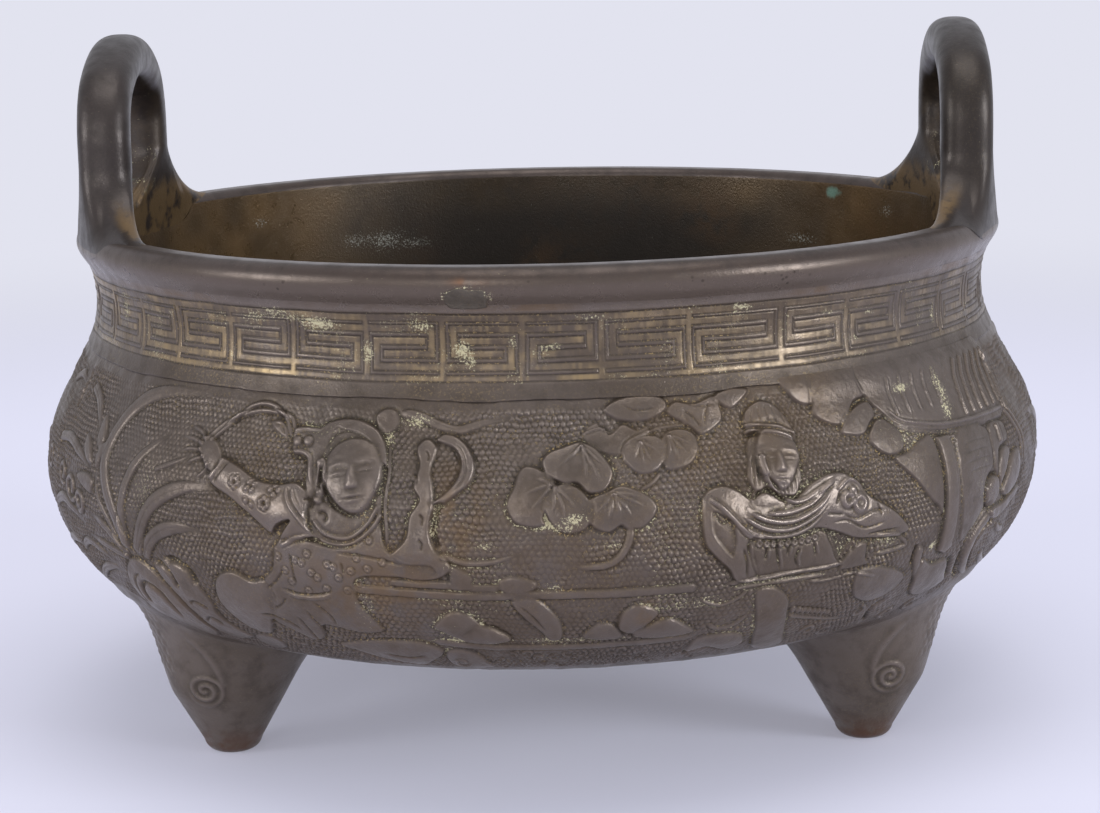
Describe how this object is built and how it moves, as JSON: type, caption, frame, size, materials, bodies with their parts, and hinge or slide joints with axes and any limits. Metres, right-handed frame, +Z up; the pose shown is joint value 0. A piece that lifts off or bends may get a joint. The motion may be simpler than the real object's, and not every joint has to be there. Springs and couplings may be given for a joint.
{
  "type": "tripod censer",
  "caption": "Squat round tripod incense burner with a waisted neck, a rolled lip and upright loop handles, its outside worked in low relief.",
  "frame": {"origin": "on the ground under the middle of the bowl", "axes": "+Z up; the front of the relief faces -Y; the handles stand at -X and +X"},
  "size_m": [0.1488, 0.1487, 0.1014],
  "materials": {
    "relief_bronze": "cast bronze with a dark grey-brown patina, worn warm on the raised relief",
    "neck_bronze": "cast bronze, dark brown and smooth on the lip, worn to a dull gold on the fret",
    "handle_bronze": "cast bronze with a smooth dark patina, rubbed by hands",
    "foot_bronze": "cast bronze with a dark patina, rubbed bare at the tips",
    "base_bronze": "plain cast bronze, dull and dark",
    "plug_bronze": "bronze filling, a little greyer than the casting round it"
  },
  "bodies": {
    "root": {"bowl": "relief_bronze", "neck_ring": "neck_bronze", "handle_left": "handle_bronze", "handle_right": "handle_bronze", "foot_back": "foot_bronze", "foot_front_left": "foot_bronze", "foot_front_right": "foot_bronze", "base_disc": "base_bronze", "core_plugs": "plug_bronze", "lip_patch": "plug_bronze"}
  },
  "joints": []
}
